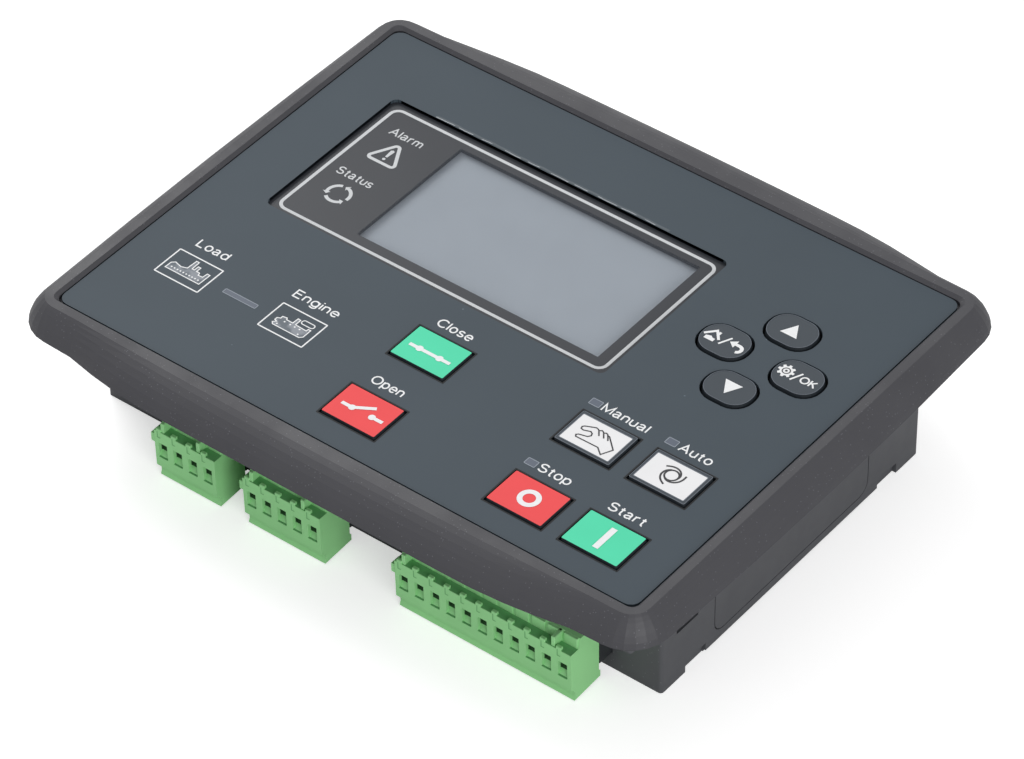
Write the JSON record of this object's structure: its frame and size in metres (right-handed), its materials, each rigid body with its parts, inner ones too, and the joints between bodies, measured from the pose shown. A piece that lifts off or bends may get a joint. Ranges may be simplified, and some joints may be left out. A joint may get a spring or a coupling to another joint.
{
  "type": "genset controller",
  "caption": "Panel-mounted control unit for a generating set, with a display, soft-stopped push keys, a swollen bezel and pluggable terminal blocks behind",
  "frame": {"origin": "centre of the housing's back, under the middle of the face", "axes": "+X along the long side of the face, +Y up the face, +Z out of the face"},
  "size_m": [0.2078, 0.1678, 0.0437],
  "materials": {
    "frame_plastic": "finely textured moulding",
    "overlay_film": "smooth satin film",
    "printed_lens": "clear, printed dark behind",
    "lcd_steel": "bright sheet",
    "lcd_glass": "grey display, switched off",
    "key_green": "satin cap",
    "key_red": "satin cap",
    "key_white": "satin cap",
    "key_slate": "satin cap",
    "light_guide": "clear moulding",
    "mat_rubber": "matt silicone",
    "board_laminate": "solder-masked laminate",
    "link_plastic": "moulded connector",
    "gasket_foam": "closed-cell foam",
    "housing_plastic": "finely textured moulding",
    "screw_steel": "zinc plated",
    "plug_green": "moulded terminal block",
    "header_green": "moulded terminal header"
  },
  "bodies": {
    "unit": {"front_frame": "frame_plastic", "overlay": "overlay_film", "display_lens": "printed_lens", "lcd_frame": "lcd_steel", "lcd_panel": "lcd_glass", "light_manual": "light_guide", "light_auto": "light_guide", "light_stop": "light_guide", "light_load": "light_guide", "keypad_mat": "mat_rubber", "main_board": "board_laminate", "terminal_board": "board_laminate", "board_link": "link_plastic", "panel_gasket": "gasket_foam", "rear_housing": "housing_plastic", "side_cover_right": "housing_plastic", "side_cover_left": "housing_plastic", "case_screw_1": "screw_steel", "case_screw_2": "screw_steel", "case_screw_3": "screw_steel", "case_screw_4": "screw_steel", "board_screw_1": "screw_steel", "board_screw_2": "screw_steel", "board_screw_3": "screw_steel", "board_screw_4": "screw_steel", "plug_11_pole": "plug_green", "plug_5_pole": "plug_green", "plug_4_pole": "plug_green", "header_11_pole": "header_green", "header_5_pole": "header_green", "header_4_pole": "header_green"},
    "close_key": {"key_close": "key_green"},
    "open_key": {"key_open": "key_red"},
    "manual_key": {"key_manual": "key_white"},
    "auto_key": {"key_auto": "key_white"},
    "stop_key": {"key_stop": "key_red"},
    "start_key": {"key_start": "key_green"},
    "home_key": {"key_home": "key_slate"},
    "up_key": {"key_up": "key_slate"},
    "down_key": {"key_down": "key_slate"},
    "confirm_key": {"key_confirm": "key_slate"}
  },
  "joints": [
    {"name": "press_close", "type": "slide", "parent": "unit", "child": "close_key", "axis": [0, 0, -1], "range_m": [0, 0.0008], "stiffness_N_per_m": 1500},
    {"name": "press_open", "type": "slide", "parent": "unit", "child": "open_key", "axis": [0, 0, -1], "range_m": [0, 0.0008], "stiffness_N_per_m": 1500},
    {"name": "press_manual", "type": "slide", "parent": "unit", "child": "manual_key", "axis": [0, 0, -1], "range_m": [0, 0.0008], "stiffness_N_per_m": 1500},
    {"name": "press_auto", "type": "slide", "parent": "unit", "child": "auto_key", "axis": [0, 0, -1], "range_m": [0, 0.0008], "stiffness_N_per_m": 1500},
    {"name": "press_stop", "type": "slide", "parent": "unit", "child": "stop_key", "axis": [0, 0, -1], "range_m": [0, 0.0008], "stiffness_N_per_m": 1500},
    {"name": "press_start", "type": "slide", "parent": "unit", "child": "start_key", "axis": [0, 0, -1], "range_m": [0, 0.0008], "stiffness_N_per_m": 1500},
    {"name": "press_home", "type": "slide", "parent": "unit", "child": "home_key", "axis": [0, 0, -1], "range_m": [0, 0.0008], "stiffness_N_per_m": 1500},
    {"name": "press_up", "type": "slide", "parent": "unit", "child": "up_key", "axis": [0, 0, -1], "range_m": [0, 0.0008], "stiffness_N_per_m": 1500},
    {"name": "press_down", "type": "slide", "parent": "unit", "child": "down_key", "axis": [0, 0, -1], "range_m": [0, 0.0008], "stiffness_N_per_m": 1500},
    {"name": "press_confirm", "type": "slide", "parent": "unit", "child": "confirm_key", "axis": [0, 0, -1], "range_m": [0, 0.0008], "stiffness_N_per_m": 1500}
  ]
}
